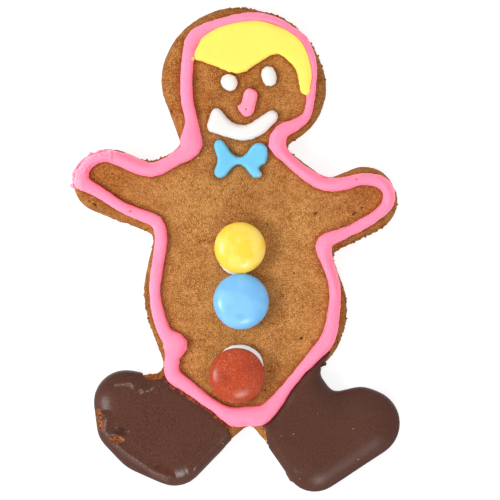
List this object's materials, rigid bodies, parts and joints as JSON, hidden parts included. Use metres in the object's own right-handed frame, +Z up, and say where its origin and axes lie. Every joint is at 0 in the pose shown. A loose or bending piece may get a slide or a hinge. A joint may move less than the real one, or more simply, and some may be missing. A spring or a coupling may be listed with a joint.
{
  "type": "gingerbread man cookie",
  "caption": "Flat gingerbread biscuit shaped as a little man, with a piped icing border and face, sugar-shelled sweets as buttons and chocolate-dipped feet.",
  "frame": {"origin": "on the underside, under the middle of the biscuit's outline", "axes": "+Z up through the icing, +Y towards the crown of the head, +X towards the viewer's right when the head is at the top"},
  "size_m": [0.0881, 0.1301, 0.0145],
  "materials": {
    "baked_dough": "matte, fine-grained and slightly pitted",
    "pink_icing": "satin sugar icing",
    "yellow_icing": "satin sugar icing",
    "white_icing": "satin sugar icing",
    "blue_icing": "satin sugar icing",
    "dark_chocolate": "soft sheen",
    "yellow_shell": "polished sugar shell",
    "blue_shell": "polished sugar shell",
    "red_brown_shell": "sugar shell, rubbed and speckled"
  },
  "bodies": {
    "root": {"biscuit": "baked_dough", "icing_border": "pink_icing", "icing_nose": "pink_icing", "icing_hair": "yellow_icing", "icing_eye_left": "white_icing", "icing_eye_right": "white_icing", "icing_smile": "white_icing", "icing_dab_top": "white_icing", "icing_dab_middle": "white_icing", "icing_dab_bottom": "white_icing", "icing_bow_tie": "blue_icing", "sweet_top": "yellow_shell", "sweet_middle": "blue_shell", "sweet_bottom": "red_brown_shell", "chocolate_foot_left": "dark_chocolate", "chocolate_foot_right": "dark_chocolate"}
  },
  "joints": []
}
